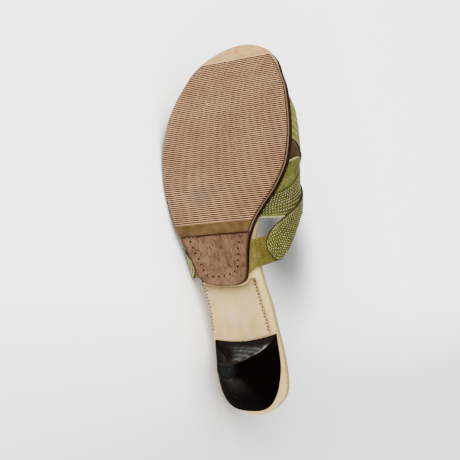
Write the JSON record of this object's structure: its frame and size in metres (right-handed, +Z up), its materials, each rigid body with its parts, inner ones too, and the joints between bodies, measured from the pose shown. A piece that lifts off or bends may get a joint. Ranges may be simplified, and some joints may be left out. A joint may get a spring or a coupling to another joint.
{
  "type": "open-toe kitten-heel mule",
  "caption": "Right open-toe mule lying on its outer side: crossed strap upper over a padded insole, flared kitten heel, leather outsole with a ribbed half sole",
  "frame": {"origin": "the point of the floor under the middle of the shoe's box, the shoe lying on its outer side", "axes": "+X runs from the toe to the back of the heel, +Y from the tread towards the top of the foot, +Z up from the floor, which is towards the inner side of the foot"},
  "size_m": [0.248, 0.0696, 0.0957],
  "materials": {
    "outsole_leather": "brown sole leather, dark inked edge, matt and slightly worn",
    "ribbed_rubber": "tan moulded rubber with fine wavy ribs across, matt",
    "insole_leather": "cream lining leather wrapped over the insole's edge, satin",
    "waist_leather": "cream leather with a dotted stitch line along each side, satin",
    "heel_lacquer": "near-black lacquered plastic, glossy",
    "lift_rubber": "dark moulded rubber, satin",
    "upper_leather": "olive and lime leather, corded and stitched in rows, satin"
  },
  "bodies": {
    "root": {"outsole": "outsole_leather", "forefoot_rubber": "ribbed_rubber", "insole": "insole_leather", "waist_cover": "waist_leather", "heel": "heel_lacquer", "top_lift": "lift_rubber", "upper": "upper_leather"}
  },
  "joints": []
}
